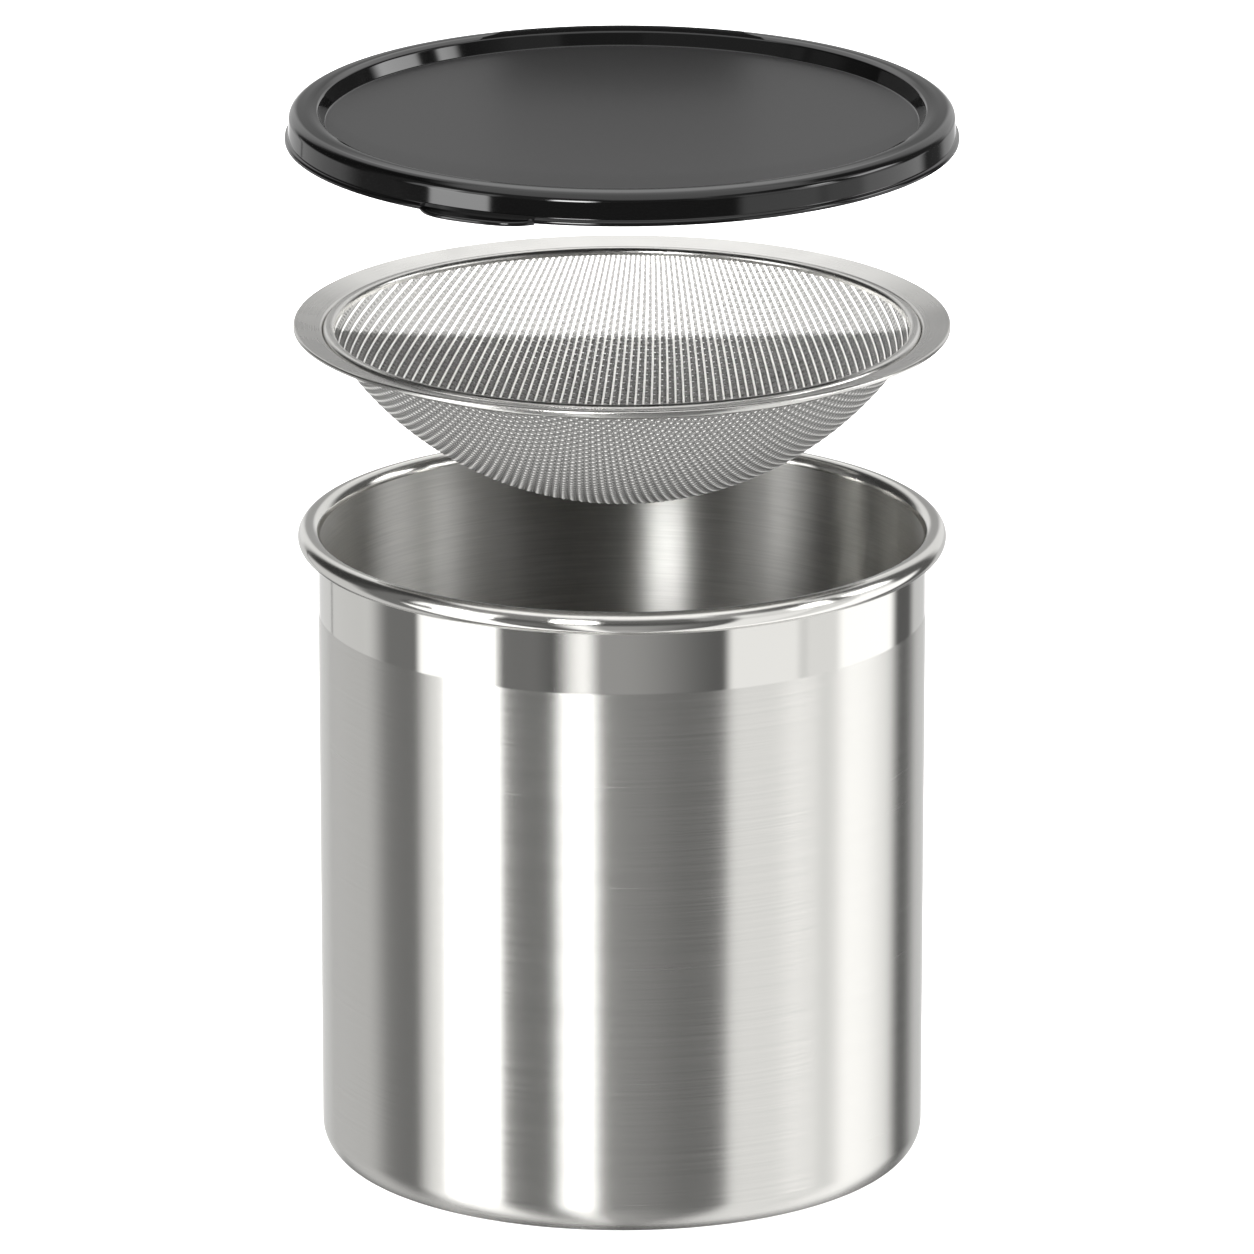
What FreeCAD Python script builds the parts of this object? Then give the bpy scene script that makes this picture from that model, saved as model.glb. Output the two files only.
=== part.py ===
"""Bacon grease container: a drawn steel can, a lift-out strainer and a press-on plastic lid.

Every piece is a thin sheet turned about the vertical axis, so every piece is made the same way:
a sketch holds the path that the sheet's visible face follows from the axis to its edge, the path
is thickened to the sheet's gauge, and that section is revolved.

The origin is the centre of the can's underside, +Z is up, and the millimetre is the unit. The three
loose parts stand apart on their common axis: the strainer hangs above the can's mouth, and the lid
hangs above the strainer. Both slide straight down to close the container.
"""
import FreeCAD, Part
import math
import os

import Sketcher
from FreeCAD import Placement, Rotation, Vector

# Driving dimensions, in millimetres unless the name says degrees. Radii are measured from the axis.
SIZES = {
    # The can: one drawn steel cup with a slight draft and its top edge curled outward into a bead.
    "can_height": 177.8,
    "can_gauge": 0.7,
    "mouth_radius": 82.1,
    "base_radius": 81.4,
    "base_corner": 8.1,
    "bead_radius": 3.1,
    "bead_edge_radius": 83.3,
    # The strainer's pressed flange: a small turned-down lip, a land that dishes down inward, a
    # shoulder and a collar that drops into the mouth. Its foot is turned in under the hem ring.
    "strainer_height": 234.8,
    "flange_gauge": 0.5,
    "flange_radius": 89.2,
    "lip_drop": 1.1,
    "lip_corner": 0.6,
    "dish_drop": 1.6,
    "collar_radius": 81.2,
    "shoulder_corner": 1.2,
    "collar_drop": 4.0,
    "foot_corner": 0.6,
    "foot_width": 0.9,
    # The hem ring: a narrow channel, open below, that grips the edge of the wire cloth.
    "ring_gauge": 0.5,
    "ring_outer_radius": 81.15,
    "ring_inner_radius": 78.0,
    "ring_crown": 1.4,
    "ring_sink": 0.9,
    "ring_inner_drop": 2.9,
    "ring_outer_drop": 3.35,
    # The bowl of wire cloth: part of a sphere, as thick as two crossing wires.
    "cloth_gauge": 0.7,
    "bowl_sphere_radius": 92.57,
    "bowl_depth": 46.6,
    "bowl_edge_drop": 1.55,
    # The lid: a sunk panel, a wall up to a wide arched rim, a skirt with some draft and a small
    # flared lip. The lid's height is that of the rim's crest before it is rounded.
    "lid_height": 295.2,
    "lid_gauge": 0.85,
    "panel_radius": 80.4,
    "panel_drop": 4.4,
    "panel_corner": 0.6,
    "rim_inner_radius": 82.3,
    "rim_inner_drop": 0.8,
    "rim_inner_corner": 1.0,
    "rim_crest_radius": 84.8,
    "rim_crest_corner": 5.0,
    "rim_shoulder_radius": 88.3,
    "rim_shoulder_drop": 0.5,
    "rim_shoulder_corner": 4.0,
    "skirt_top_radius": 90.1,
    "skirt_top_drop": 1.9,
    "skirt_top_corner": 2.0,
    "skirt_radius": 90.4,
    "skirt_drop": 7.3,
    "flare_corner": 0.5,
    "flare_drop": 7.8,
    "lid_lip_radius": 91.3,
    "lid_lip_corner": 0.95,
    "lid_drop": 8.75,
    # The finger tab: a crescent that stands out of the lip and hangs a little below it, turned from
    # the front (-Y) towards -X.
    "tab_reach": 95.5,
    "tab_round_radius": 27.7,
    "tab_thickness": 2.4,
    "tab_hang": 0.5,
    "tab_bite": 0.6,
    "tab_turn_degrees": 25.5,
}

UPRIGHT = Placement(Vector(0, 0, 0), Rotation(Vector(1, 0, 0), 90))


def make_sizes(doc):
    """Write the driving dimensions into a spreadsheet, one aliased cell each."""
    sheet = doc.addObject("Spreadsheet::Sheet", "Sizes")
    for row, (alias, size) in enumerate(SIZES.items(), start=1):
        sheet.set(f"A{row}", alias)
        sheet.set(f"B{row}", str(size))
        sheet.setAlias(f"B{row}", alias)
    doc.recompute()


def cell(text):
    """Turn a formula in bare aliases into one that reads the spreadsheet."""
    return " ".join(f"Sizes.{word}" if word in SIZES else word for word in text.split())


def number(sketch, text):
    """The present value of a formula in bare aliases."""
    return float(sketch.evalExpression(cell(text)))


def bind(sketch, constraint, text):
    """Add a dimension to the sketch and let the formula drive it."""
    index = sketch.addConstraint(constraint)
    sketch.setExpression(f"Constraints[{index}]", cell(text))


def pin(sketch, geometry, end, across, up):
    """Hold one end of a sketch element at a radius and a height, each given by a formula."""
    if across == "0":
        sketch.addConstraint(Sketcher.Constraint("PointOnObject", geometry, end, -2))
    else:
        radius = number(sketch, across)
        bind(sketch, Sketcher.Constraint("DistanceX", -1, 1, geometry, end, radius), across)
    bind(sketch, Sketcher.Constraint("DistanceY", -1, 1, geometry, end, number(sketch, up)), up)


def corner_path(doc, name, corners):
    """Sketch a path of straight runs; each corner is (radius from the axis, height, rounding)."""
    sketch = doc.addObject("Sketcher::SketchObject", f"{name}_path")
    sketch.Placement = UPRIGHT
    points = [Vector(number(sketch, across), number(sketch, up), 0) for across, up, _ in corners]
    for start, end in zip(points, points[1:]):
        sketch.addGeometry(Part.LineSegment(start, end), False)
    runs = len(points) - 1
    for run in range(runs - 1):
        sketch.addConstraint(Sketcher.Constraint("Coincident", run, 2, run + 1, 1))
    pin(sketch, 0, 1, corners[0][0], corners[0][1])
    for run in range(runs):
        pin(sketch, run, 2, corners[run + 1][0], corners[run + 1][1])
    for run in range(runs - 1):
        rounding = corners[run + 1][2]
        if rounding:
            sketch.fillet(run, 2, number(sketch, rounding), True, True)
            arc = [i for i, g in enumerate(sketch.Geometry) if isinstance(g, Part.ArcOfCircle)][-1]
            bind(sketch, Sketcher.Constraint("Radius", arc, number(sketch, rounding)), rounding)
    return sketch


def add_curl(sketch, run, radius, edge_radius):
    """Curl the sheet outward from the top of an upright run, until its edge is near the wall."""
    curl_radius = number(sketch, radius)
    start = sketch.getPoint(run, 2)
    centre = start + Vector(curl_radius, 0, 0)
    circle = Part.Circle(centre, Vector(0, 0, 1), curl_radius)
    edge = number(sketch, edge_radius)
    edge_angle = -math.acos((edge - centre.x) / curl_radius)
    curl = sketch.addGeometry(Part.ArcOfCircle(circle, edge_angle, math.pi), False)
    sketch.addConstraint(Sketcher.Constraint("Tangent", run, 2, curl, 2))
    bind(sketch, Sketcher.Constraint("Radius", curl, curl_radius), radius)
    bind(sketch, Sketcher.Constraint("DistanceX", -1, 1, curl, 1, edge), edge_radius)


def bowl_path(doc, name):
    """Sketch the inner face of the bowl: an arc about a centre on the axis, from pole to edge."""
    sketch = doc.addObject("Sketcher::SketchObject", f"{name}_path")
    sketch.Placement = UPRIGHT
    sphere = number(sketch, "bowl_sphere_radius")
    pole = "strainer_height - bowl_depth"
    edge = "strainer_height - bowl_edge_drop"
    centre = Vector(0, number(sketch, pole) + sphere, 0)
    climb = number(sketch, edge) - centre.y
    across = (sphere ** 2 - climb ** 2) ** 0.5
    foot = centre - Vector(0, sphere, 0)
    middle = Vector(across / 2, centre.y - (sphere ** 2 - across ** 2 / 4) ** 0.5, 0)
    sketch.addGeometry(Part.Arc(foot, middle, Vector(across, number(sketch, edge), 0)), False)
    sketch.addConstraint(Sketcher.Constraint("PointOnObject", 0, 3, -2))
    bind(sketch, Sketcher.Constraint("Radius", 0, sphere), "bowl_sphere_radius")
    pin(sketch, 0, 1, "0", pole)
    bind(sketch, Sketcher.Constraint("DistanceY", -1, 1, 0, 2, number(sketch, edge)), edge)
    return sketch


def turn_sheet(doc, name, path, gauge):
    """Thicken the path to the gauge and revolve it; a minus sign thickens to the path's right."""
    section = doc.addObject("Part::Offset2D", f"{name}_section")
    section.Source = path
    section.Mode = "Skin"
    section.Join = "Intersection"
    section.Fill = True
    section.setExpression("Value", cell(gauge))
    turned = doc.addObject("Part::Revolution", name)
    turned.Source = section
    turned.Axis = Vector(0, 0, 1)
    turned.Base = Vector(0, 0, 0)
    turned.Angle = 360
    turned.Solid = True
    return turned


def make_can_body(doc):
    """Flat base, rounded corner, drafted wall, and a hollow bead curled outward at the mouth."""
    path = corner_path(doc, "can_body", [
        ("0", "can_gauge", None),
        ("base_radius", "can_gauge", "base_corner"),
        ("mouth_radius", "can_height - bead_radius", None),
    ])
    add_curl(path, 1, "bead_radius", "bead_edge_radius")
    return turn_sheet(doc, "can_body", path, "- can_gauge")


def make_strainer_flange(doc):
    """Pressed ring that rests on the can's bead by its land and centres by its collar."""
    path = corner_path(doc, "strainer_flange", [
        ("flange_radius", "strainer_height - lip_drop", None),
        ("flange_radius", "strainer_height", "lip_corner"),
        ("collar_radius", "strainer_height - dish_drop", "shoulder_corner"),
        ("collar_radius", "strainer_height - collar_drop", "foot_corner"),
        ("collar_radius - foot_width", "strainer_height - collar_drop", None),
    ])
    return turn_sheet(doc, "strainer_flange", path, "flange_gauge")


def make_strainer_hem_ring(doc):
    """Channel bent over the edge of the cloth: short leg inside, long leg against the collar."""
    path = corner_path(doc, "strainer_hem_ring", [
        ("ring_inner_radius", "strainer_height - ring_inner_drop", None),
        ("ring_inner_radius", "strainer_height - ring_sink", "ring_crown"),
        ("ring_outer_radius", "strainer_height - ring_sink", "ring_crown"),
        ("ring_outer_radius", "strainer_height - ring_outer_drop", None),
    ])
    return turn_sheet(doc, "strainer_hem_ring", path, "- ring_gauge")


def make_strainer_mesh(doc):
    """Bowl of wire cloth, as a closed shell of the cloth's full thickness."""
    return turn_sheet(doc, "strainer_mesh", bowl_path(doc, "strainer_mesh"), "- cloth_gauge")


def make_lid_shell(doc):
    """Moulded shell: sunk panel, wall, arched rim, skirt and flared lip in one thickness."""
    path = corner_path(doc, "lid_shell", [
        ("0", "lid_height - panel_drop", None),
        ("panel_radius", "lid_height - panel_drop", "panel_corner"),
        ("rim_inner_radius", "lid_height - rim_inner_drop", "rim_inner_corner"),
        ("rim_crest_radius", "lid_height", "rim_crest_corner"),
        ("rim_shoulder_radius", "lid_height - rim_shoulder_drop", "rim_shoulder_corner"),
        ("skirt_top_radius", "lid_height - skirt_top_drop", "skirt_top_corner"),
        ("skirt_radius", "lid_height - skirt_drop", "flare_corner"),
        ("lid_lip_radius", "lid_height - flare_drop", "lid_lip_corner"),
        ("lid_lip_radius", "lid_height - lid_drop", None),
    ])
    return turn_sheet(doc, "lid_shell", path, "- lid_gauge")


def make_finger_tab(doc):
    """Crescent plate at the lip's foot: a round disc with the lid's own circle cut away."""
    disc = doc.addObject("Part::Cylinder", "tab_disc")
    disc.setExpression("Radius", cell("tab_round_radius"))
    disc.setExpression("Height", cell("tab_thickness"))
    centre = "( tab_reach - tab_round_radius )"
    disc.setExpression("Placement.Base.x", cell(f"- {centre} * sin( tab_turn_degrees * 1deg )"))
    disc.setExpression("Placement.Base.y", cell(f"- {centre} * cos( tab_turn_degrees * 1deg )"))
    disc.setExpression("Placement.Base.z", cell("lid_height - lid_drop - tab_hang"))
    hole = doc.addObject("Part::Cylinder", "tab_hole")
    hole.setExpression("Radius", cell("lid_lip_radius - tab_bite"))
    hole.setExpression("Height", cell("lid_height"))
    crescent = doc.addObject("Part::Cut", "finger_tab")
    crescent.Base = disc
    crescent.Tool = hole
    return crescent


def make_lid(doc):
    """The moulded lid: its shell and the finger tab are one piece of plastic."""
    lid = doc.addObject("Part::Fuse", "lid")
    lid.Base = make_lid_shell(doc)
    lid.Tool = make_finger_tab(doc)
    lid.Refine = True
    return lid


def check_document(doc, pieces):
    """Stop if any object failed to build, or if any piece is not one valid solid."""
    for item in doc.Objects:
        if "Invalid" in item.State or "Error" in item.State:
            raise RuntimeError(f"{item.Label} did not build: {item.State}")
    for piece in pieces:
        shape = piece.Shape
        if shape.isNull() or not shape.isValid() or len(shape.Solids) != 1:
            raise RuntimeError(f"{piece.Label} is not one valid solid")


def report_fits():
    """Print the gaps that decide how the closed container nests."""
    size = SIZES
    bead_outside = size["mouth_radius"] + 2 * size["bead_radius"]
    print("collar in mouth", round(size["mouth_radius"] - size["collar_radius"]
                                   - size["flange_gauge"], 2))
    print("flange lip over bead", round(size["flange_radius"] - size["flange_gauge"]
                                        - bead_outside, 2))
    print("lid skirt over flange lip", round(size["skirt_top_radius"] - size["lid_gauge"]
                                             - size["flange_radius"], 2))


def main():
    doc = FreeCAD.newDocument("GreaseContainer")
    make_sizes(doc)
    pieces = [
        make_can_body(doc),
        make_strainer_flange(doc),
        make_strainer_hem_ring(doc),
        make_strainer_mesh(doc),
        make_lid(doc),
    ]
    doc.recompute()
    check_document(doc, pieces)
    report_fits()
    os.makedirs("parts", exist_ok=True)
    for piece in pieces:
        piece.Shape.exportStep(os.path.join("parts", f"{piece.Label}.step"))
        box = piece.Shape.BoundBox
        print(piece.Label, "volume", round(piece.Shape.Volume), "from z", round(box.ZMin, 2),
              "to", round(box.ZMax, 2))


main()
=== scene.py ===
# %% [markdown]
# # A bacon grease container in steel and black plastic
# The container is a drawn steel can, a strainer that hangs in its mouth and a moulded lid. It is
# shown taken apart, each piece above the one it fits. The finished CAD model is loaded first, as
# a frame: every piece made here takes its size and place from it and moves with one of its bodies.

# %% Load the frame
import math

import bpy
import numpy as np
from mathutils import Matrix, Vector


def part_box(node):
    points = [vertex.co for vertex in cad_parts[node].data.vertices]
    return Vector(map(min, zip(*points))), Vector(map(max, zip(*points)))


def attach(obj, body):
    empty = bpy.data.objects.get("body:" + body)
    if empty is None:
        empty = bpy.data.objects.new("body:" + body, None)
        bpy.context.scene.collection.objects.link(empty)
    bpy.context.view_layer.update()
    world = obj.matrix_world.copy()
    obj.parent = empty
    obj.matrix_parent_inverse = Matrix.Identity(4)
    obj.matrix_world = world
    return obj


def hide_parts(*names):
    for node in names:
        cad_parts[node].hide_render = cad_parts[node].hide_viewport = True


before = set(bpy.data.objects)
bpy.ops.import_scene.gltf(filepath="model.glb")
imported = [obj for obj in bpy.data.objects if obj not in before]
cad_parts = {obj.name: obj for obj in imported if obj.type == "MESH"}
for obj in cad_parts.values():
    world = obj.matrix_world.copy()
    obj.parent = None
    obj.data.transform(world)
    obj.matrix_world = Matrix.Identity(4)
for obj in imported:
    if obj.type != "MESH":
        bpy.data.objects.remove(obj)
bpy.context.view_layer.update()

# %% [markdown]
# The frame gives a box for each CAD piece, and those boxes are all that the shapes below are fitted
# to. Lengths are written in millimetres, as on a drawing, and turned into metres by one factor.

mm = 0.001
can_low, can_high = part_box("can_body")
flange_low, flange_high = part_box("strainer_flange")
ring_low, ring_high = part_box("strainer_hem_ring")
cloth_low, cloth_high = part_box("strainer_mesh")
lid_low, lid_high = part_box("lid")
print("can", round((can_high[2] - can_low[2]) / mm, 1), "mm tall")
print("lid", round(2 * lid_high[0] / mm, 1), "mm wide")

# %% [markdown]
# ## Sheet that is turned about an axis
# The can, the pressed flange, the hem ring and the lid are all thin sheet of one thickness, round
# about the same axis. Each could be a subdivided cylinder, but a lathe is closer to how the metal
# is spun: draw the path that the sheet follows from the axis to its edge, round the corners, give
# it thickness, and turn it. Many small steps round each bend keep the reflections smooth.

# %% Outline helpers
BEND_STEP = math.radians(6)
SHARP_ANGLE = math.radians(35)


def arc(centre, radius, start, end):
    """Points on a circle from one angle to another, in degrees."""
    turn = math.radians(end - start)
    steps = max(2, math.ceil(abs(turn) / BEND_STEP))
    angles = [math.radians(start) + turn * i / steps for i in range(steps + 1)]
    return [Vector((centre.x + radius * math.cos(a), centre.y + radius * math.sin(a))) for a in angles]


def rounded(corners):
    """A path through (radius, height, rounding) corners, each bend drawn as a tangent arc."""
    points = [Vector(corners[0][:2])]
    for before, corner, after in zip(corners, corners[1:], corners[2:]):
        here = Vector(corner[:2])
        back = (Vector(before[:2]) - here).normalized()
        ahead = (Vector(after[:2]) - here).normalized()
        half = back.angle(ahead) / 2
        centre = here + (back + ahead).normalized() * corner[2] / math.sin(half)
        first = here + back * corner[2] / math.tan(half) - centre
        last = here + ahead * corner[2] / math.tan(half) - centre
        start = math.degrees(math.atan2(first.y, first.x))
        sweep = math.degrees(math.atan2(first.x * last.y - first.y * last.x, first.dot(last)))
        points += arc(centre, corner[2], start, start + sweep)
    return points + [Vector(corners[-1][:2])]


def thick(path, gauge):
    """Close a path into a section by offsetting it to its right; a minus gauge goes left."""
    other_side = []
    for i, point in enumerate(path):
        if i > 0 and i < len(path) - 1:
            ways = [(point - path[i - 1]).normalized(), (path[i + 1] - point).normalized()]
        elif i == 0:
            ways = [(path[1] - point).normalized()]
        else:
            ways = [(point - path[i - 1]).normalized()]
        rights = [Vector((way.y, -way.x)) for way in ways]
        mean = sum(rights, Vector((0, 0))).normalized()
        other_side.append(point + mean * gauge / mean.dot(rights[0]))
    return path + other_side[::-1]


# %% [markdown]
# A closed section becomes a mesh by turning it about the upright axis. A Screw modifier could do it,
# but with the corners worked out here, a point on the axis becomes one pole in place of many corners
# in one spot, and the mesh comes out closed, with no loose edge.

# %% Turn an outline into a mesh
TURN_STEPS = 360
AXIS_REACH = 1e-7


def turned(name, section):
    """Spin a closed section about the Z axis; points on the axis become single poles."""
    around = np.linspace(0, 2 * math.pi, TURN_STEPS, endpoint=False)
    vertices = []
    rings = []
    for point in section:
        if point.x < AXIS_REACH:
            rings.append([len(vertices)] * TURN_STEPS)
            vertices.append((0, 0, point.y))
            continue
        rings.append(list(range(len(vertices), len(vertices) + TURN_STEPS)))
        vertices += [(point.x * math.cos(a), point.x * math.sin(a), point.y) for a in around]
    faces = []
    for lower, upper in zip(rings, rings[1:] + rings[:1]):
        for i in range(TURN_STEPS):
            j = (i + 1) % TURN_STEPS
            corners = [lower[i], lower[j], upper[j], upper[i]]
            loop = [c for k, c in enumerate(corners) if c != corners[k - 1]]
            if len(loop) > 2:
                faces.append(loop)
    mesh = bpy.data.meshes.new(name)
    mesh.from_pydata(vertices, [], faces)
    mesh.update()
    return finish_mesh(name, mesh)


def finish_mesh(name, mesh):
    """Shade a mesh smooth with its sharp edges kept, and put it in the scene."""
    mesh.shade_smooth()
    mesh.set_sharp_from_angle(angle=SHARP_ANGLE)
    piece = bpy.data.objects.new(name, mesh)
    bpy.context.collection.objects.link(piece)
    weights = piece.modifiers.new("even shading", "WEIGHTED_NORMAL")
    weights.keep_sharp = True
    print(name, len(mesh.polygons), "faces")
    return piece


# %% [markdown]
# ## The can
# A single disc of steel is drawn into a cup. The wall leans out by less than a degree so that the
# cup leaves its die, and the raw edge at the mouth is curled outward into a hollow bead. Base, bend,
# wall and bead are one sheet, so one path draws them all, and there is no seam to hide.

# %% Can
can_gauge = 0.7 * mm
bead_radius = 3.1 * mm
mouth_radius = can_high[0] - 2 * bead_radius
wall_lean = 0.7 * mm
base_bend = 8.1 * mm
curl_end = -126
bead_height = can_high[2] - bead_radius
can_path = rounded([
    (0, can_gauge, 0),
    (mouth_radius - wall_lean, can_gauge, base_bend),
    (mouth_radius, bead_height, 0),
])
bead_centre = Vector((mouth_radius + bead_radius, bead_height))
can_path += arc(bead_centre, bead_radius, 180, curl_end)[1:]
can = turned("can_shell", thick(can_path, can_gauge))
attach(can, "can")
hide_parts("can_body")

# %% [markdown]
# ## The strainer's rings
# The flange is pressed from thin sheet: a small turned-down lip, a land that dishes down towards
# the middle and rests on the can's bead, and a collar that drops into the mouth. The lathe makes it
# too: a minus gauge puts the metal on the underside of the path, so the path is the face that shows.

# %% Flange
flange_gauge = 0.5 * mm
flange_radius = flange_high[0]
flange_foot = flange_low[2] + flange_gauge
flange_top = flange_foot + 4.0 * mm
collar_radius = 81.2 * mm
lip_drop = 1.1 * mm
land_fall = 1.6 * mm
collar_toe = 0.9 * mm
flange_path = rounded([
    (flange_radius, flange_top - lip_drop, 0),
    (flange_radius, flange_top, 0.6 * mm),
    (collar_radius, flange_top - land_fall, 1.2 * mm),
    (collar_radius, flange_foot, 0.6 * mm),
    (collar_radius - collar_toe, flange_foot, 0),
])
flange = turned("strainer_rim", thick(flange_path, -flange_gauge))
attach(flange, "strainer")
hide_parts("strainer_flange")

# %% [markdown]
# Inside the collar a narrow channel is bent over the raw edge of the wire cloth, so that no wire end
# is left bare. It could be a plain torus, but a bent strip has a flat crown between two tight bends,
# and that is what draws the thin bright line round the bowl. So it is turned from its own path.

# %% Hem ring
ring_gauge = 0.5 * mm
ring_outer = ring_high[0]
ring_inner = ring_outer - 3.15 * mm
ring_top = ring_high[2]
ring_inner_leg = 2.0 * mm
crown = 1.4 * mm
ring_path = rounded([
    (ring_inner, ring_top - ring_inner_leg, 0),
    (ring_inner, ring_top, crown),
    (ring_outer, ring_top, crown),
    (ring_outer, ring_low[2], 0),
])
hem_ring = turned("strainer_hem", thick(ring_path, ring_gauge))
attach(hem_ring, "strainer")
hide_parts("strainer_hem_ring")

# %% [markdown]
# ## The wire cloth
# The bowl is woven steel cloth, 20 wires to the inch lengthwise and 24 crosswise, pressed into part
# of a sphere. Every second lengthwise wire is stouter than the rest and lies on the inner face, so
# the cloth looks ribbed from front to back inside and dotted outside, where the crosswise wires tie
# the stout ones down. A picture of a weave would go flat at the edge of the bowl, so every wire is
# modelled. First the sphere is found that the cloth's box holds.

# %% Bowl shape
cloth_gauge = 0.7 * mm
edge_radius = cloth_high[0]
bowl_rise = cloth_high[2] - cloth_low[2]
FIT_ROUNDS = 6
for _ in range(FIT_ROUNDS):
    sphere_radius = (edge_radius ** 2 + bowl_rise ** 2) / (2 * bowl_rise)
    edge_slope = 1 - bowl_rise / sphere_radius
    bowl_rise = cloth_high[2] - cloth_low[2] - cloth_gauge * edge_slope
weave_radius = sphere_radius - cloth_gauge / 2
bowl_centre_height = cloth_low[2] + sphere_radius
edge_angle = math.asin(edge_radius / sphere_radius)
print("bowl sphere", round(sphere_radius / mm, 2), "mm")
print("edge at", round(math.degrees(edge_angle), 1), "degrees")

# %% [markdown]
# Pressing draws the lengthwise wires together towards their ends as the meridians of a globe draw
# together towards its poles, so a wire is a line on a globe with its two poles at the front and the
# back. Two numbers name a point on it, and a third lifts it over or under the wire that it crosses.
# The wires bite into each other a little where they cross, because real ones are pressed flat there.

# %% Lines of the weave
lengthwise_pitch = 25.4 * mm / 20 / weave_radius
crosswise_pitch = 25.4 * mm / 24 / weave_radius
stout_radius = 0.38 * mm
fine_radius = 0.27 * mm
cross_radius = 0.42 * mm
bite = 0.26 * mm
stout_lift = 0.2 * mm
fine_lift = -0.2 * mm
fine_swing = 0.32 * mm
cross_swing = 0.08 * mm
weave_turn = math.radians(-4)


def on_bowl(longitude, latitude, lift):
    """Points of the globe grid on the bowl, lifted towards the sphere's centre."""
    out = weave_radius - lift
    x = out * np.cos(latitude) * np.sin(longitude)
    y = out * np.sin(latitude)
    z = bowl_centre_height - out * np.cos(latitude) * np.cos(longitude)
    turn_cos = math.cos(weave_turn)
    turn_sin = math.sin(weave_turn)
    return np.stack([x * turn_cos - y * turn_sin, x * turn_sin + y * turn_cos, z], axis=-1)


def crossings_of(angle, pitch):
    """Numbers of the crossing wires met by a wire at this angle before it reaches the edge."""
    half = math.acos(min(math.cos(edge_angle) / math.cos(angle), 1.0))
    return np.arange(math.ceil(-half / pitch - 0.5), math.floor(half / pitch - 0.5) + 1)


def lengthwise_wire(index):
    """The centre line of a wire from front to back; only the fine ones swing over and under."""
    angle = (index + 0.5) * lengthwise_pitch
    crossings = crossings_of(angle, crosswise_pitch)
    over = np.where((crossings + index // 2) % 2 == 0, 1.0, -1.0)
    lift = stout_lift + 0 * over if index % 2 == 0 else fine_lift + fine_swing * over
    return on_bowl(np.full(len(over), angle), (crossings + 0.5) * crosswise_pitch, lift)


def crosswise_wire(index):
    """The centre line of a wire from side to side, which runs behind every stout wire."""
    angle = (index + 0.5) * crosswise_pitch
    crossings = crossings_of(angle, lengthwise_pitch)
    over = np.where((crossings // 2 + index) % 2 == 0, -1.0, 1.0)
    behind_stout = stout_lift - stout_radius - cross_radius + bite
    lift = np.where(crossings % 2 == 0, behind_stout, fine_lift / 2) + cross_swing * over
    return on_bowl((crossings + 0.5) * lengthwise_pitch, np.full(len(over), angle), lift)


# %% [markdown]
# A curve with a round bevel would make a wire in one step, but thousands of them would be slow and
# would twist. Here each wire is a six-sided tube whose sides keep facing the bowl's centre, and the
# wires go into four shared meshes: stout, fine, and crosswise in front and behind.

# %% Wires as tubes
WIRE_SIDES = 6


def tube(path, radius):
    """Corner points of a thin tube round a path, ring by ring."""
    ahead = np.gradient(path, axis=0)
    ahead /= np.linalg.norm(ahead, axis=1, keepdims=True)
    outward = path - np.array([0, 0, bowl_centre_height])
    side = np.cross(ahead, outward)
    side /= np.linalg.norm(side, axis=1, keepdims=True)
    up = np.cross(side, ahead)
    angles = 2 * math.pi * (np.arange(WIRE_SIDES) + 0.5) / WIRE_SIDES
    sideways = np.cos(angles)[None, :, None] * side[:, None, :]
    upward = np.sin(angles)[None, :, None] * up[:, None, :]
    return path[:, None, :] + radius * (sideways + upward)


def wire_bundle(name, paths, radius):
    """One mesh of many wires that run the same way."""
    vertices = []
    faces = []
    count = 0
    ring = np.arange(WIRE_SIDES)
    for path in paths:
        if len(path) < 3:
            continue
        vertices.append(tube(path, radius).reshape(-1, 3))
        starts = count + WIRE_SIDES * np.arange(len(path) - 1)[:, None]
        beside = (ring + 1) % WIRE_SIDES
        corners = [starts + ring, starts + beside, starts + WIRE_SIDES + beside, starts + WIRE_SIDES + ring]
        faces += np.stack(corners, axis=-1).reshape(-1, 4).tolist()
        last = count + WIRE_SIDES * (len(path) - 1)
        faces += [(count + ring[::-1]).tolist(), (last + ring).tolist()]
        count += WIRE_SIDES * len(path)
    mesh = bpy.data.meshes.new(name)
    mesh.from_pydata(np.concatenate(vertices).tolist(), [], faces)
    mesh.shade_smooth()
    bundle = bpy.data.objects.new(name, mesh)
    bpy.context.collection.objects.link(bundle)
    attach(bundle, "strainer")
    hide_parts("strainer_mesh")
    print(name, len(mesh.polygons), "faces")
    return bundle


def wire_numbers(pitch):
    """Numbers of all wires that the edge of the bowl holds, about the middle."""
    count = math.floor(edge_angle / pitch - 0.5)
    return range(-count - 1, count + 1)


lengthwise = wire_numbers(lengthwise_pitch)
crosswise = wire_numbers(crosswise_pitch)
stout_paths = [lengthwise_wire(i) for i in lengthwise if i % 2 == 0]
fine_paths = [lengthwise_wire(i) for i in lengthwise if i % 2 == 1]
front_paths = [crosswise_wire(i) for i in crosswise if i < 0]
back_paths = [crosswise_wire(i) for i in crosswise if i >= 0]
stout_wires = wire_bundle("wires_stout", stout_paths, stout_radius)
binding_wires = [
    wire_bundle("wires_fine", fine_paths, fine_radius),
    wire_bundle("wires_crosswise_front", front_paths, cross_radius),
    wire_bundle("wires_crosswise_back", back_paths, cross_radius),
]

# %% [markdown]
# ## The lid
# The lid is one moulding of black plastic: a sunk panel, a steep wall up to a broad arched rim, and
# a skirt that ends in a small flared lip. It has one thickness throughout, as a moulding needs to
# cool evenly, so it is turned like the sheet metal, from corners that get generous bends.

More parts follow.
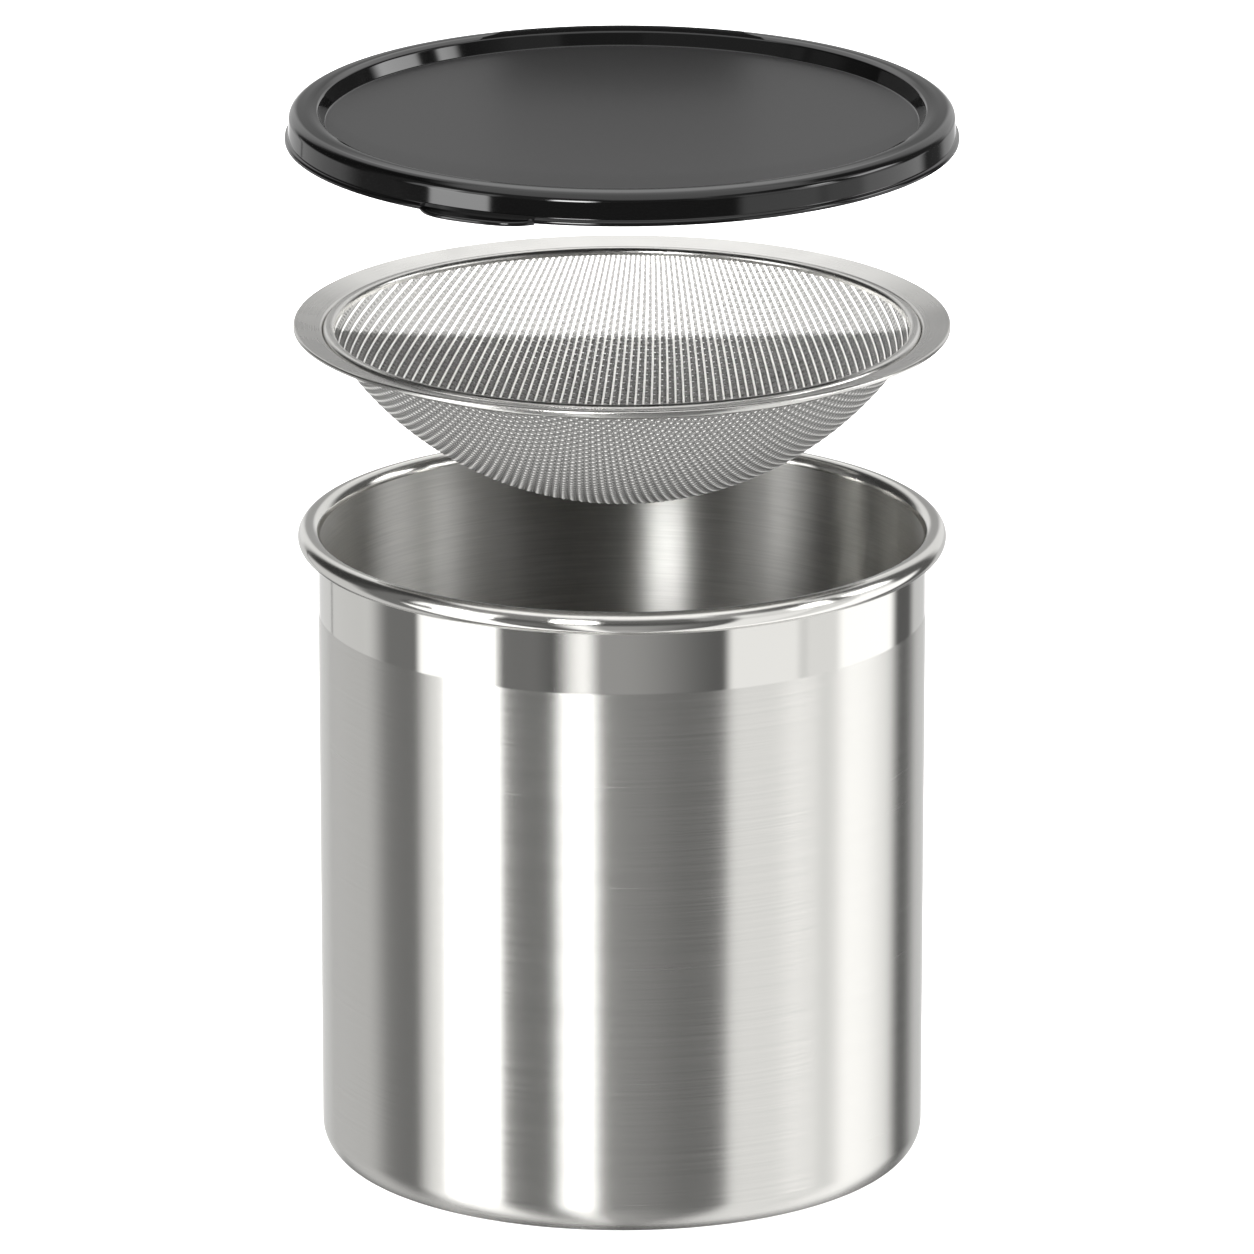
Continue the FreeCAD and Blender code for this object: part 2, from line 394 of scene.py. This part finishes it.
# %% Lid shell
lid_gauge = 0.85 * mm
crest_cut = 0.11 * mm  # what the rounding takes off the rim's highest corner
rim_crest = lid_high[2] + crest_cut
lip_radius = lid_high[0]
panel_radius = lip_radius - 10.9 * mm
panel_height = rim_crest - 4.4 * mm
lid_path = rounded([
    (0, panel_height, 0),
    (panel_radius, panel_height, 0.6 * mm),
    (lip_radius - 9.0 * mm, rim_crest - 0.8 * mm, 1.0 * mm),
    (lip_radius - 6.5 * mm, rim_crest, 5.0 * mm),
    (lip_radius - 3.0 * mm, rim_crest - 0.5 * mm, 4.0 * mm),
    (lip_radius - 1.2 * mm, rim_crest - 1.9 * mm, 2.0 * mm),
    (lip_radius - 0.9 * mm, rim_crest - 7.3 * mm, 0.5 * mm),
    (lip_radius, rim_crest - 7.8 * mm, 0.95 * mm),
    (lip_radius, rim_crest - 8.75 * mm, 0),
])
lid_top = max(point.y for point in lid_path)
print("rim crest", round(lid_top / mm, 2), "mm, box top", round(lid_high[2] / mm, 2), "mm")
lid_shell = turned("lid_moulding", thick(lid_path, lid_gauge))
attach(lid_shell, "lid")
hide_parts("lid")

# %% [markdown]
# A crescent tab stands out of the lip at the front, a little to the left, to lift the lid by. Cutting
# a disc to shape would leave a hard edge, so the tab is a section swept along the lip: its reach
# swells from nothing to full and sinks back again, and its edge stays round all the way.

# %% Finger tab
tab_turn = math.radians(-90 - 25.5)
tab_half_angle = math.radians(10.7)
tab_stand_out = 4.2 * mm
tab_edge = 0.65 * mm
tab_foot = lid_low[2]
tab_root = lip_radius - 0.6 * mm
tab_bevel = 0.4 * mm
root_low = 1.0 * mm
slope_top = 1.6 * mm
root_high = 2.4 * mm
TAB_STEPS = 64


def tab_section(reach):
    """Across the tab: it falls from the lip to a rounded edge."""
    edge = Vector((lip_radius + reach - tab_edge, tab_foot + tab_edge))
    under = [Vector((tab_root, tab_foot + root_low)), Vector((tab_root + tab_bevel, tab_foot + tab_bevel))]
    above = [Vector((tab_root + tab_bevel, tab_foot + slope_top)), Vector((tab_root, tab_foot + root_high))]
    return under + arc(edge, tab_edge, -90, 90) + above


def tab_mesh():
    """A crescent: its outer edge swells out of the lip and sinks back into it."""
    vertices = []
    for i in range(TAB_STEPS + 1):
        share = 2 * i / TAB_STEPS - 1
        angle = tab_turn + share * tab_half_angle
        section = tab_section(tab_stand_out * (1 - share ** 4))
        vertices += [(p.x * math.cos(angle), p.x * math.sin(angle), p.y) for p in section]
    size = len(section)
    faces = []
    for here in range(0, TAB_STEPS * size, size):
        ahead = here + size
        for k in range(size):
            beside = (k + 1) % size
            faces.append([here + k, ahead + k, ahead + beside, here + beside])
    faces.append(list(range(size)))
    faces.append(list(range(TAB_STEPS * size, (TAB_STEPS + 1) * size))[::-1])
    mesh = bpy.data.meshes.new("lid_finger_tab")
    mesh.from_pydata(vertices, [], faces)
    mesh.update()
    return mesh


finger_tab = finish_mesh("lid_finger_tab", tab_mesh())
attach(finger_tab, "lid")

# %% [markdown]
# ## Shader maths in plain arithmetic
# A finish is a small sum: so much roughness here, a little more along the brushing there. Wiring
# that sum by hand hides it, so a socket is wrapped in a class that understands + - * and each
# operation adds its own Math node. The reflected forms let a plain number stand first, as in
# 1 - mask. Every other node comes from one method: its type, its settings, then its inputs.

# %% Fields and recipes
class Field:
    """A shader output that can be added, subtracted and multiplied."""

    def __init__(self, recipe, socket):
        self.recipe = recipe
        self.socket = socket

    def part(self, name):
        return Field(self.recipe, self.socket.node.outputs[name])

    def __add__(self, other):
        return self.recipe.math("ADD", self, other)

    def __radd__(self, other):
        return self.recipe.math("ADD", other, self)

    def __sub__(self, other):
        return self.recipe.math("SUBTRACT", self, other)

    def __rsub__(self, other):
        return self.recipe.math("SUBTRACT", other, self)

    def __mul__(self, other):
        return self.recipe.math("MULTIPLY", self, other)

    def __rmul__(self, other):
        return self.recipe.math("MULTIPLY", other, self)


class Recipe:
    """Builds one node tree from calls that read like a list of ingredients."""

    def __init__(self, tree):
        self.tree = tree
        self.tree.nodes.clear()

    def node(self, kind, settings=None, inputs=None, output=0):
        """Add a node of this type and give back one of its outputs."""
        made = self.tree.nodes.new(kind)
        for name, setting in (settings or {}).items():
            setattr(made, name, setting)
        for key, value in (inputs or {}).items():
            if isinstance(value, Field):
                self.tree.links.new(value.socket, made.inputs[key])
            else:
                made.inputs[key].default_value = value
        return Field(self, made.outputs[output]) if made.outputs else made

    def math(self, operation, first, second=0.0):
        return self.node("ShaderNodeMath", {"operation": operation}, {0: first, 1: second})

    def ease(self, field, start, end):
        """0 before start, 1 after end, and a smooth step between them."""
        smooth = {"interpolation_type": "SMOOTHSTEP"}
        limits = {"Value": field, "From Min": start, "From Max": end}
        return self.node("ShaderNodeMapRange", smooth, limits)


# %% [markdown]
# ## The finishes
# Brushed steel is not a grey paint: it is a mirror with thousands of fine scratches round the wall.
# They blur what the metal reflects up and down far more than sideways, so upright bright and dark
# strips stay crisp. The anisotropic shader does the blur, and stretched noise draws the scratches.
# First come the fields that the finishes share, all taken from the piece's own shape.

# %% Where on the piece
def place_on(mix):
    """Where a point lies on its piece, in the piece's own axes."""
    return mix.node("ShaderNodeTexCoord", output="Object")


def height_of(mix, place):
    """Height above the can's underside."""
    return mix.node("ShaderNodeSeparateXYZ", None, {0: place}).part("Z")


def reach_of(mix, place):
    """Distance from the upright axis."""
    flat = mix.node("ShaderNodeVectorMath", {"operation": "MULTIPLY"}, {0: place, 1: (1, 1, 0)})
    return mix.node("ShaderNodeVectorMath", {"operation": "LENGTH"}, {0: flat}, output="Value")


def spoke_to(mix, place, centre_height):
    """The arrow to a point from a centre on the axis."""
    ends = {0: place, 1: (0, 0, centre_height)}
    return mix.node("ShaderNodeVectorMath", {"operation": "SUBTRACT"}, ends)


def facing_in(mix, spoke, softness):
    """1 where the surface looks back along its spoke, as an inside does, and 0 where it looks away."""
    surface = mix.node("ShaderNodeTexCoord", output="Normal")
    pair = {0: spoke, 1: surface}
    away = mix.node("ShaderNodeVectorMath", {"operation": "DOT_PRODUCT"}, pair, output="Value")
    return 1 - mix.ease(away, -softness, softness)


# %% [markdown]
# Both steels are a colour, a roughness and a pattern of fine lines, and a line darkens the metal a
# little and stands out of it a little. That much is the same for the can and for the rings, so it is
# written once, and each steel then only says where its lines run and how rough it is.

# %% Steel
SCRATCH_DEPTH = 0.02 * mm
SCRATCH_STRENGTH = 0.3
LINE_DARKNESS = 0.4
QUARTER_TURN = 0.25
BLACK = (0, 0, 0)


def new_recipe(name):
    """A material with an empty recipe."""
    material = bpy.data.materials.new(name)
    material.use_nodes = True
    print("material:", name)
    return material, Recipe(material.node_tree)


def streaks(mix, place, length, width):
    """Noise drawn out into horizontal lines of about this length and width."""
    stretch = {0: place, 1: (1 / length, 1 / length, 1 / width)}
    stretched = mix.node("ShaderNodeVectorMath", {"operation": "MULTIPLY"}, stretch)
    return mix.node("ShaderNodeTexNoise", None, {"Vector": stretched, "Scale": 1.0, "Detail": 2.0})


def tint(mix, amount, dark, pale):
    """A colour between two others, each given as red, green and blue."""
    ends = {"Factor": amount, 6: (*dark, 1), 7: (*pale, 1)}
    return mix.node("ShaderNodeMix", {"data_type": "RGBA"}, ends, output=2)


def relief(mix, height):
    """A bump of a few micrometres."""
    inputs = {"Strength": SCRATCH_STRENGTH, "Distance": SCRATCH_DEPTH, "Height": height}
    return mix.node("ShaderNodeBump", None, inputs)


def steel_surface(mix, colour, rough, anisotropy, lines, depth):
    """The metal itself: lines darken it by a share of depth and stand out of it a little."""
    tone = 1 - (1 - lines) * depth * LINE_DARKNESS
    shade = tint(mix, tone, BLACK, colour)
    metal = mix.node("ShaderNodeBsdfPrincipled", None, {
        "Base Color": shade, "Metallic": 1.0, "Roughness": rough, "Normal": relief(mix, lines * depth),
        "Anisotropic": anisotropy, "Anisotropic Rotation": QUARTER_TURN})
    mix.node("ShaderNodeOutputMaterial", None, {"Surface": metal})


# %% [markdown]
# The can is satin outside, where it was brushed round and round, and coarser inside. A band below the
# bead was polished after the brushing, down to a crisp line. Three materials on three sets of faces
# would need cuts in the mesh at those lines; one material that mixes three roughnesses by height and
# by the side a face is on keeps the sheet whole.

# %% The can's steel
band_foot = 154 * mm


def brushed_can():
    """Satin outside, polished above a line near the mouth, and coarsely brushed inside."""
    material, mix = new_recipe("brushed can steel")
    place = place_on(mix)
    height = height_of(mix, place)
    fine_lines = streaks(mix, place, 60 * mm, 0.35 * mm)
    coarse_lines = streaks(mix, place, 18 * mm, 0.5 * mm)
    bead = mix.ease(height, bead_height - 0.2 * mm, bead_height + 0.4 * mm)
    band = mix.ease(height, band_foot - 0.3 * mm, band_foot + 0.3 * mm)
    spoke = spoke_to(mix, place, bead_height / 2)
    inside = facing_in(mix, spoke, 5 * mm) * (1 - bead)
    polished = band * (1 - inside)
    satin = 0.22 + 0.07 * fine_lines
    brushed = 0.32 + 0.12 * coarse_lines
    rough = satin * (1 - inside) + brushed * inside
    rough = rough * (1 - polished) + (0.1 + 0.03 * bead) * polished
    lines = fine_lines * (1 - inside) + coarse_lines * inside
    lines = lines * (1 - polished) + 0.8 * polished
    steel_surface(mix, (0.68, 0.672, 0.645), rough, 1.0, lines, 0.4 + 0.3 * inside)
    return material


can.data.materials.append(brushed_can())


# %% [markdown]
# The flange and the hem ring are pressed and then turned against a fine abrasive, which leaves very
# fine rings round the axis. Polishing by hand leaves soft patches that are a little duller. Noise that
# depends only on the distance from the axis draws the rings, and slow noise draws the patches.

# %% The strainer's pressed steel
def pressed_steel():
    """Thin sheet with fine turned rings, lightly polished."""
    material, mix = new_recipe("pressed ring steel")
    place = place_on(mix)
    ring_noise = {"W": reach_of(mix, place), "Scale": 2500.0}
    lines = mix.node("ShaderNodeTexNoise", {"noise_dimensions": "1D"}, ring_noise)
    blotches = mix.node("ShaderNodeTexNoise", None, {"Vector": place, "Scale": 70.0, "Detail": 1.0})
    rough = 0.12 + 0.08 * lines + 0.2 * blotches
    steel_surface(mix, (0.66, 0.652, 0.63), rough, 0.4, lines, 0.3)
    return material


ring_steel = pressed_steel()
for piece in (flange, hem_ring):
    piece.data.materials.append(ring_steel)


# %% [markdown]
# Drawn wire is dull from the die, and wear burnishes it where it stands proud of the weave: on the
# inner crests of the stout wires and on the outer crests of the crosswise ones. Those crests are made
# pale and less metallic, partly for that wear and partly as a painted highlight for glints too small
# to come out of a six-sided wire, and the outward faces are darkened as painted shade in the recesses.
# Painting every wire would be endless work; the distance from the bowl's centre already says what is a
# crest.

# %% Wire
# Tone of the wires' outward faces away from the crests: painted shade of the weave's recesses.
WIRE_OUTSIDE_PAINTED_SHADE = 0.07
WIRE_WHITE = (1.0, 0.99, 0.96)


def wire_steel(name, side, crest, gap, crest_wear_and_highlight_tone):
    """Pale crests (wear and painted highlight), painted shade outside; side is 1 for inner crests, -1
    outer.
    """
    material, mix = new_recipe(name)
    spoke = spoke_to(mix, place_on(mix), bowl_centre_height)
    spread = mix.node("ShaderNodeVectorMath", {"operation": "LENGTH"}, {0: spoke}, output="Value")
    inside = facing_in(mix, spoke, 0.3 * sphere_radius)
    # The crest mask is partly wear and partly a painted highlight for glints too small for six-sided wires.
    wear_and_painted_highlight = mix.ease(side * (weave_radius - spread), crest[0], crest[1])
    wear_and_painted_highlight = wear_and_painted_highlight * (inside if side > 0 else 1 - inside)
    # Outward faces take the darker tone as painted shade of the recesses; inward faces keep the given tone.
    dull_and_outer_shade = WIRE_OUTSIDE_PAINTED_SHADE + (gap - WIRE_OUTSIDE_PAINTED_SHADE) * inside
    tone = dull_and_outer_shade + (crest_wear_and_highlight_tone - dull_and_outer_shade) * wear_and_painted_highlight
    # Crests turn pale and lose metal shine so that they read white under any light: painted highlight on
    # top of wear.
    metal = mix.node("ShaderNodeBsdfPrincipled", None, {
        "Base Color": tint(mix, tone, BLACK, WIRE_WHITE),
        "Metallic": 0.4 - 0.25 * wear_and_painted_highlight, "Roughness": 0.42 - 0.2 * wear_and_painted_highlight})
    mix.node("ShaderNodeOutputMaterial", None, {"Surface": metal})
    return material


# Distances where the pale crests lie: wear, and a painted highlight.
inner_crest = (0.34 * mm, 0.46 * mm)
outer_crest = (0.62 * mm, 0.74 * mm)
stout_wires.data.materials.append(wire_steel("stout drawn wire", 1, inner_crest, 0.2, 0.98))
binding_steel = wire_steel("binding wire", -1, outer_crest, 0.27, 0.28)
for bundle in binding_wires:
    bundle.data.materials.append(binding_steel)


# %% [markdown]
# The lid's rim and skirt come out of a polished mould and the panel out of a blasted one, so the
# same black plastic is glossy in one place and softly grey in the other. One mask, the distance from
# the axis, switches colour, roughness and grain together.

# %% Plastic
GLOSS_BLACK = (0.0005, 0.0005, 0.0005)
MATTE_BLACK = (0.01, 0.01, 0.01)


def black_plastic():
    """Glossy black plastic whose sunk panel has a fine matte texture."""
    material, mix = new_recipe("moulded black plastic")
    place = place_on(mix)
    panel = 1 - mix.ease(reach_of(mix, place), panel_radius - 0.4 * mm, panel_radius)
    grain = mix.node("ShaderNodeTexNoise", None, {"Vector": place, "Scale": 2600.0, "Detail": 2.0})
    plastic = mix.node("ShaderNodeBsdfPrincipled", None, {
        "Base Color": tint(mix, panel, GLOSS_BLACK, MATTE_BLACK),
        "Roughness": 0.07 + 0.4 * panel, "Normal": relief(mix, grain * panel)})
    mix.node("ShaderNodeOutputMaterial", None, {"Surface": plastic})
    return material


lid_plastic = black_plastic()
for piece in (lid_shell, finger_tab):
    piece.data.materials.append(lid_plastic)

# %% [markdown]
# ## The studio
# Polished metal shows nothing but the room. Upright strip lights and the dark gaps between them
# are what give a steel can its shape. Lamps and cards could be stood round the can, but then each
# would need hiding from the camera, so the room is drawn as a sky: bright strips at chosen bearings,
# a bright ceiling and a dim table.

# %% Sky panels
PANELS = [
    # name, left edge, its softness, right edge, its softness, foot, top, brightness. The edges are
    # degrees: bearings count from behind the camera, + to the right, and heights from eye level.
    ("left backdrop", -200, 10, -107, 16, -44, -2, 0.66),
    ("back wall, left", -200, 10, -148, 16, -2, 57, 0.85),
    ("left haze", -112, 12, -83, 4, -44, 46, 0.09),
    ("left window", -83.8, 4, -49, 3, -100, -13, 1.7),
    ("left window, middle", -69, 2, -46, 2, -12, 3, 6.5),
    ("left window, high", -78, 6, -44, 6, 3, 28, 1.8),
    ("left window, high core", -69, 3, -58, 3, 3, 28, 3.2),
    ("between the lamps", -48.3, 6, -29, 12, -44, -13, 0.1),
    ("front lamp", -21.3, 12, -11, 8, -100, -13, 1.4),
    ("front lamp, high", -24, 4, -10, 6, 8, 26, 23.0),
    ("front table", -12, 10, 20, 44, -100, -13, 0.34),
    ("roof haze", -75, 20, 60, 20, 10, 57, 0.15),
    ("front roof", -8, 6, 40, 6, 44, 57, 0.8),
    ("roof beam, right", 26, 6, 50, 8, 10, 50, 0.12),
    ("right screen", 41, 5, 72, 6, -100, 28, 0.85),
    ("right screen, fold", 73, 6, 91, 6, -100, 10, 0.68),
    ("right screens, foot", 40, 5, 91, 6, -100, -8, 0.22),
    ("right screens, high", 62, 4, 80, 3, 4, 28, 1.2),
    ("right screens, high core", 68, 2, 79, 2, 4, 28, 1.6),
    ("roof light, right", 72, 4, 81, 3, 22, 33, 6.0),
    ("roof light, far right", 90, 3, 112, 7, 16, 31, 4.5),
    ("right window", 91, 6, 126, 8, -100, -2, 1.45),
    ("right window, high", 91, 6, 110, 6, -2, 57, 0.85),
    ("right backdrop", 144, 9, 200, 10, -44, -2, 0.58),
    ("back wall, right", 142, 14, 200, 10, -2, 57, 0.85),
    ("ceiling", -200, 1, 200, 1, 57, 100, 1.35),
    ("table", -200, 1, 200, 1, -100, -58, 0.1),
    ("table, far edge", -200, 1, -100, 20, -58, -44, 0.6),
    ("table, near right", 126, 8, 200, 1, -58, -44, 0.6),
]
RISE_SOFTNESS = 7
# The next two lists give a softness after every edge. A left edge past the right one means a patch
# that runs through straight behind. The last number of a glow is its brightness, and that of a shade
# the share of the light that it takes away.
GLOWS = [
    ("backdrop behind the can, low", 168, 8, -168, 8, -24, 8, -2, 4, 0.5),
    ("backdrop behind the can, high", 168, 8, -168, 8, 28, 6, 56, 6, 0.5),
]
SHADES = [
    ("seam in the backdrop", -145.4, 0.6, -143.8, 0.6, -100, 1, 100, 1, 0.6),
    ("backdrop behind the can, middle", 168, 8, -168, 8, 0, 4, 24, 6, 0.55),
    ("table behind the can", 150, 20, -150, 20, -78, 10, -26, 6, 0.8),
    ("front, above eye level", -9, 6, 27, 4, 2, 8, 48, 8, 0.4),
    ("left wall, above eye level", -142, 10, -98, 10, 4, 6, 60, 6, 0.6),
]
ROOM_LEVEL = 0.13
EVEN_LIGHT = 2.3
SEEN_LIGHT = 1.0
print(len(PANELS), "panels,", len(GLOWS), "glows and", len(SHADES), "shades")

# %% [markdown]
# The sky is one sum. Each panel is a product of soft steps over bearing and rise. The light path then
# sorts the rays: mirror-like ones see the panels, the camera sees plain white, and everything that
# scatters light gets one even level, so the matte surfaces stay clean and free of noise.

# %% Sky
def between(mix, field, low, low_softness, high, high_softness):
    """1 between two edges, each with its own softness."""
    rising = mix.ease(field, low - low_softness / 2, low + low_softness / 2)
    return rising * (1 - mix.ease(field, high - high_softness / 2, high + high_softness / 2))


def patch(mix, bearing, rise, edges):
    """1 inside a patch of the sky and 0 outside it."""
    left, left_softness, right, right_softness, foot, foot_softness, top, top_softness = edges
    if left < right:
        across = between(mix, bearing, left, left_softness, right, right_softness)
    else:
        across = 1 - between(mix, bearing, right, right_softness, left, left_softness)
    return across * between(mix, rise, foot, foot_softness, top, top_softness)


def studio_sky():
    """A room of light panels for mirrors, and an even soft light for everything else."""
    world = bpy.data.worlds.new("studio")
    bpy.context.scene.world = world
    world.use_nodes = True
    mix = Recipe(world.node_tree)
    way = mix.node("ShaderNodeTexCoord", output="Generated")
    parts = mix.node("ShaderNodeSeparateXYZ", None, {0: way})
    bearing = mix.math("DEGREES", mix.math("ARCTAN2", parts.part("X"), parts.part("Y") * -1))
    rise = mix.math("DEGREES", mix.math("ARCSINE", parts.part("Z")))
    room = ROOM_LEVEL
    for _, left, left_softness, right, right_softness, foot, top, brightness in PANELS:
        edges = (left, left_softness, right, right_softness, foot, RISE_SOFTNESS, top, RISE_SOFTNESS)
        room = room + patch(mix, bearing, rise, edges) * brightness
    for _, *edges, brightness in GLOWS:
        room = room + patch(mix, bearing, rise, edges) * brightness
    for _, *edges, share in SHADES:
        room = room * (1 - share * patch(mix, bearing, rise, edges))
    path = mix.node("ShaderNodeLightPath")
    even = path.part("Is Diffuse Ray")
    seen = path.part("Is Camera Ray")
    glow = room * (1 - even) * (1 - seen) + even * EVEN_LIGHT + seen * SEEN_LIGHT
    light = mix.node("ShaderNodeBackground", None, {"Color": (1, 1, 1, 1), "Strength": glow})
    mix.node("ShaderNodeOutputWorld", None, {"Surface": light})
    print("sky of", len(world.node_tree.nodes), "nodes")


studio_sky()

# %% [markdown]
# One low lamp stands in front. It shines over the near edge of the strainer, and inside the bowl it
# reaches only the far wall, so the rim's shadow falls across the cloth. On a ball-shaped bowl the edge
# of that shadow is flat: it lies in a plane that tilts twice as much as the lamp is high. A sun lamp
# is used, because its rays are parallel and its strength doesn't change with distance.

# %% Low front lamp
lamp_rise = math.radians(8.3)
lamp_width = math.radians(0.8)
lamp_strength = 12.5
lamp_data = bpy.data.lights.new("low front lamp", "SUN")
lamp_data.energy = lamp_strength
lamp_data.angle = lamp_width
lamp = bpy.data.objects.new("low front lamp", lamp_data)
bpy.context.collection.objects.link(lamp)
lamp.rotation_euler = (math.pi / 2 - lamp_rise, 0, 0)
lamp.visible_glossy = False
print("shadow edge tilts", round(2 * math.degrees(lamp_rise), 1), "degrees")

# %% [markdown]
# The floor is a plain white sheet with a faint glow of its own, so that it meets the white sky with
# no edge. It is hidden from mirrors, because the sky already holds the table that the steel shows. A
# sheet this plain needs no recipe: it and the card below are four corners and one colour.

# %% Floor
floor_reach = 20.0
floor_drop = 0.1 * mm
floor_glow = 0.25


def stage_sheet(name, corners, colour, rough, glow):
    """A flat sheet of one colour that belongs to the studio."""
    mesh = bpy.data.meshes.new(name)
    mesh.from_pydata(corners, [], [(0, 1, 2, 3)])
    sheet = bpy.data.objects.new(name, mesh)
    bpy.context.collection.objects.link(sheet)
    paint = bpy.data.materials.new(name)
    paint.use_nodes = True
    shader = paint.node_tree.nodes["Principled BSDF"]
    shader.inputs["Base Color"].default_value = (*colour, 1)
    shader.inputs["Roughness"].default_value = rough
    shader.inputs["Emission Color"].default_value = (1, 1, 1, 1)
    shader.inputs["Emission Strength"].default_value = glow
    mesh.materials.append(paint)
    print("studio sheet:", name)
    return sheet


floor_corners = [(x * floor_reach, y * floor_reach, 0) for x, y in ((-1, -1), (1, -1), (1, 1), (-1, 1))]
floor = stage_sheet("floor", floor_corners, (0.95, 0.95, 0.95), 1.0, floor_glow)
floor.location.z = -floor_drop
floor.visible_glossy = False

# %% [markdown]
# The lid's matte panel is too smooth and too level to show the room's fall-off by itself. A black
# card stands close behind the lid, out of the camera's sight, so the panel darkens towards its back.

# %% Card
card_side = 34 * mm
card_distance = 98 * mm
card_foot = lid_high[2] - 1 * mm
card_top = lid_high[2] + 36 * mm
card_corners = [
    (-card_side, card_distance, card_foot),
    (card_side, card_distance, card_foot),
    (card_side, card_distance, card_top),
    (-card_side, card_distance, card_top),
]
card = stage_sheet("card", card_corners, (0.01, 0.01, 0.01), 0.5, 0.0)
card.visible_camera = False
card.visible_shadow = False
card.visible_diffuse = False

# %% [markdown]
# ## The camera
# A long lens from far off keeps the three round pieces nearly parallel, as a product picture does. It
# looks down a little, so that the lid's panel, the bowl and the inside of the can all show. An
# orthographic camera would be simpler, but it would lose the slight taper of a real lens.

# %% Camera
camera_data = bpy.data.cameras.new("camera")
camera = bpy.data.objects.new("camera", camera_data)
bpy.context.collection.objects.link(camera)
bpy.context.scene.camera = camera
look_down = math.radians(16.6)
camera_distance = 5.0
look_at = Vector((1.36 * mm, 0, 148.3 * mm))
film_width = 36
focal_length = 526.7
camera_data.lens = focal_length
camera_data.sensor_width = film_width
camera_data.clip_end = 100
camera.location = look_at + camera_distance * Vector((0, -math.cos(look_down), math.sin(look_down)))
camera.rotation_euler = (math.pi / 2 - look_down, 0, 0)
bpy.context.scene.view_settings.view_transform = "Standard"
print("camera", camera_distance, "m off, looking", round(math.degrees(look_down), 1), "degrees down")
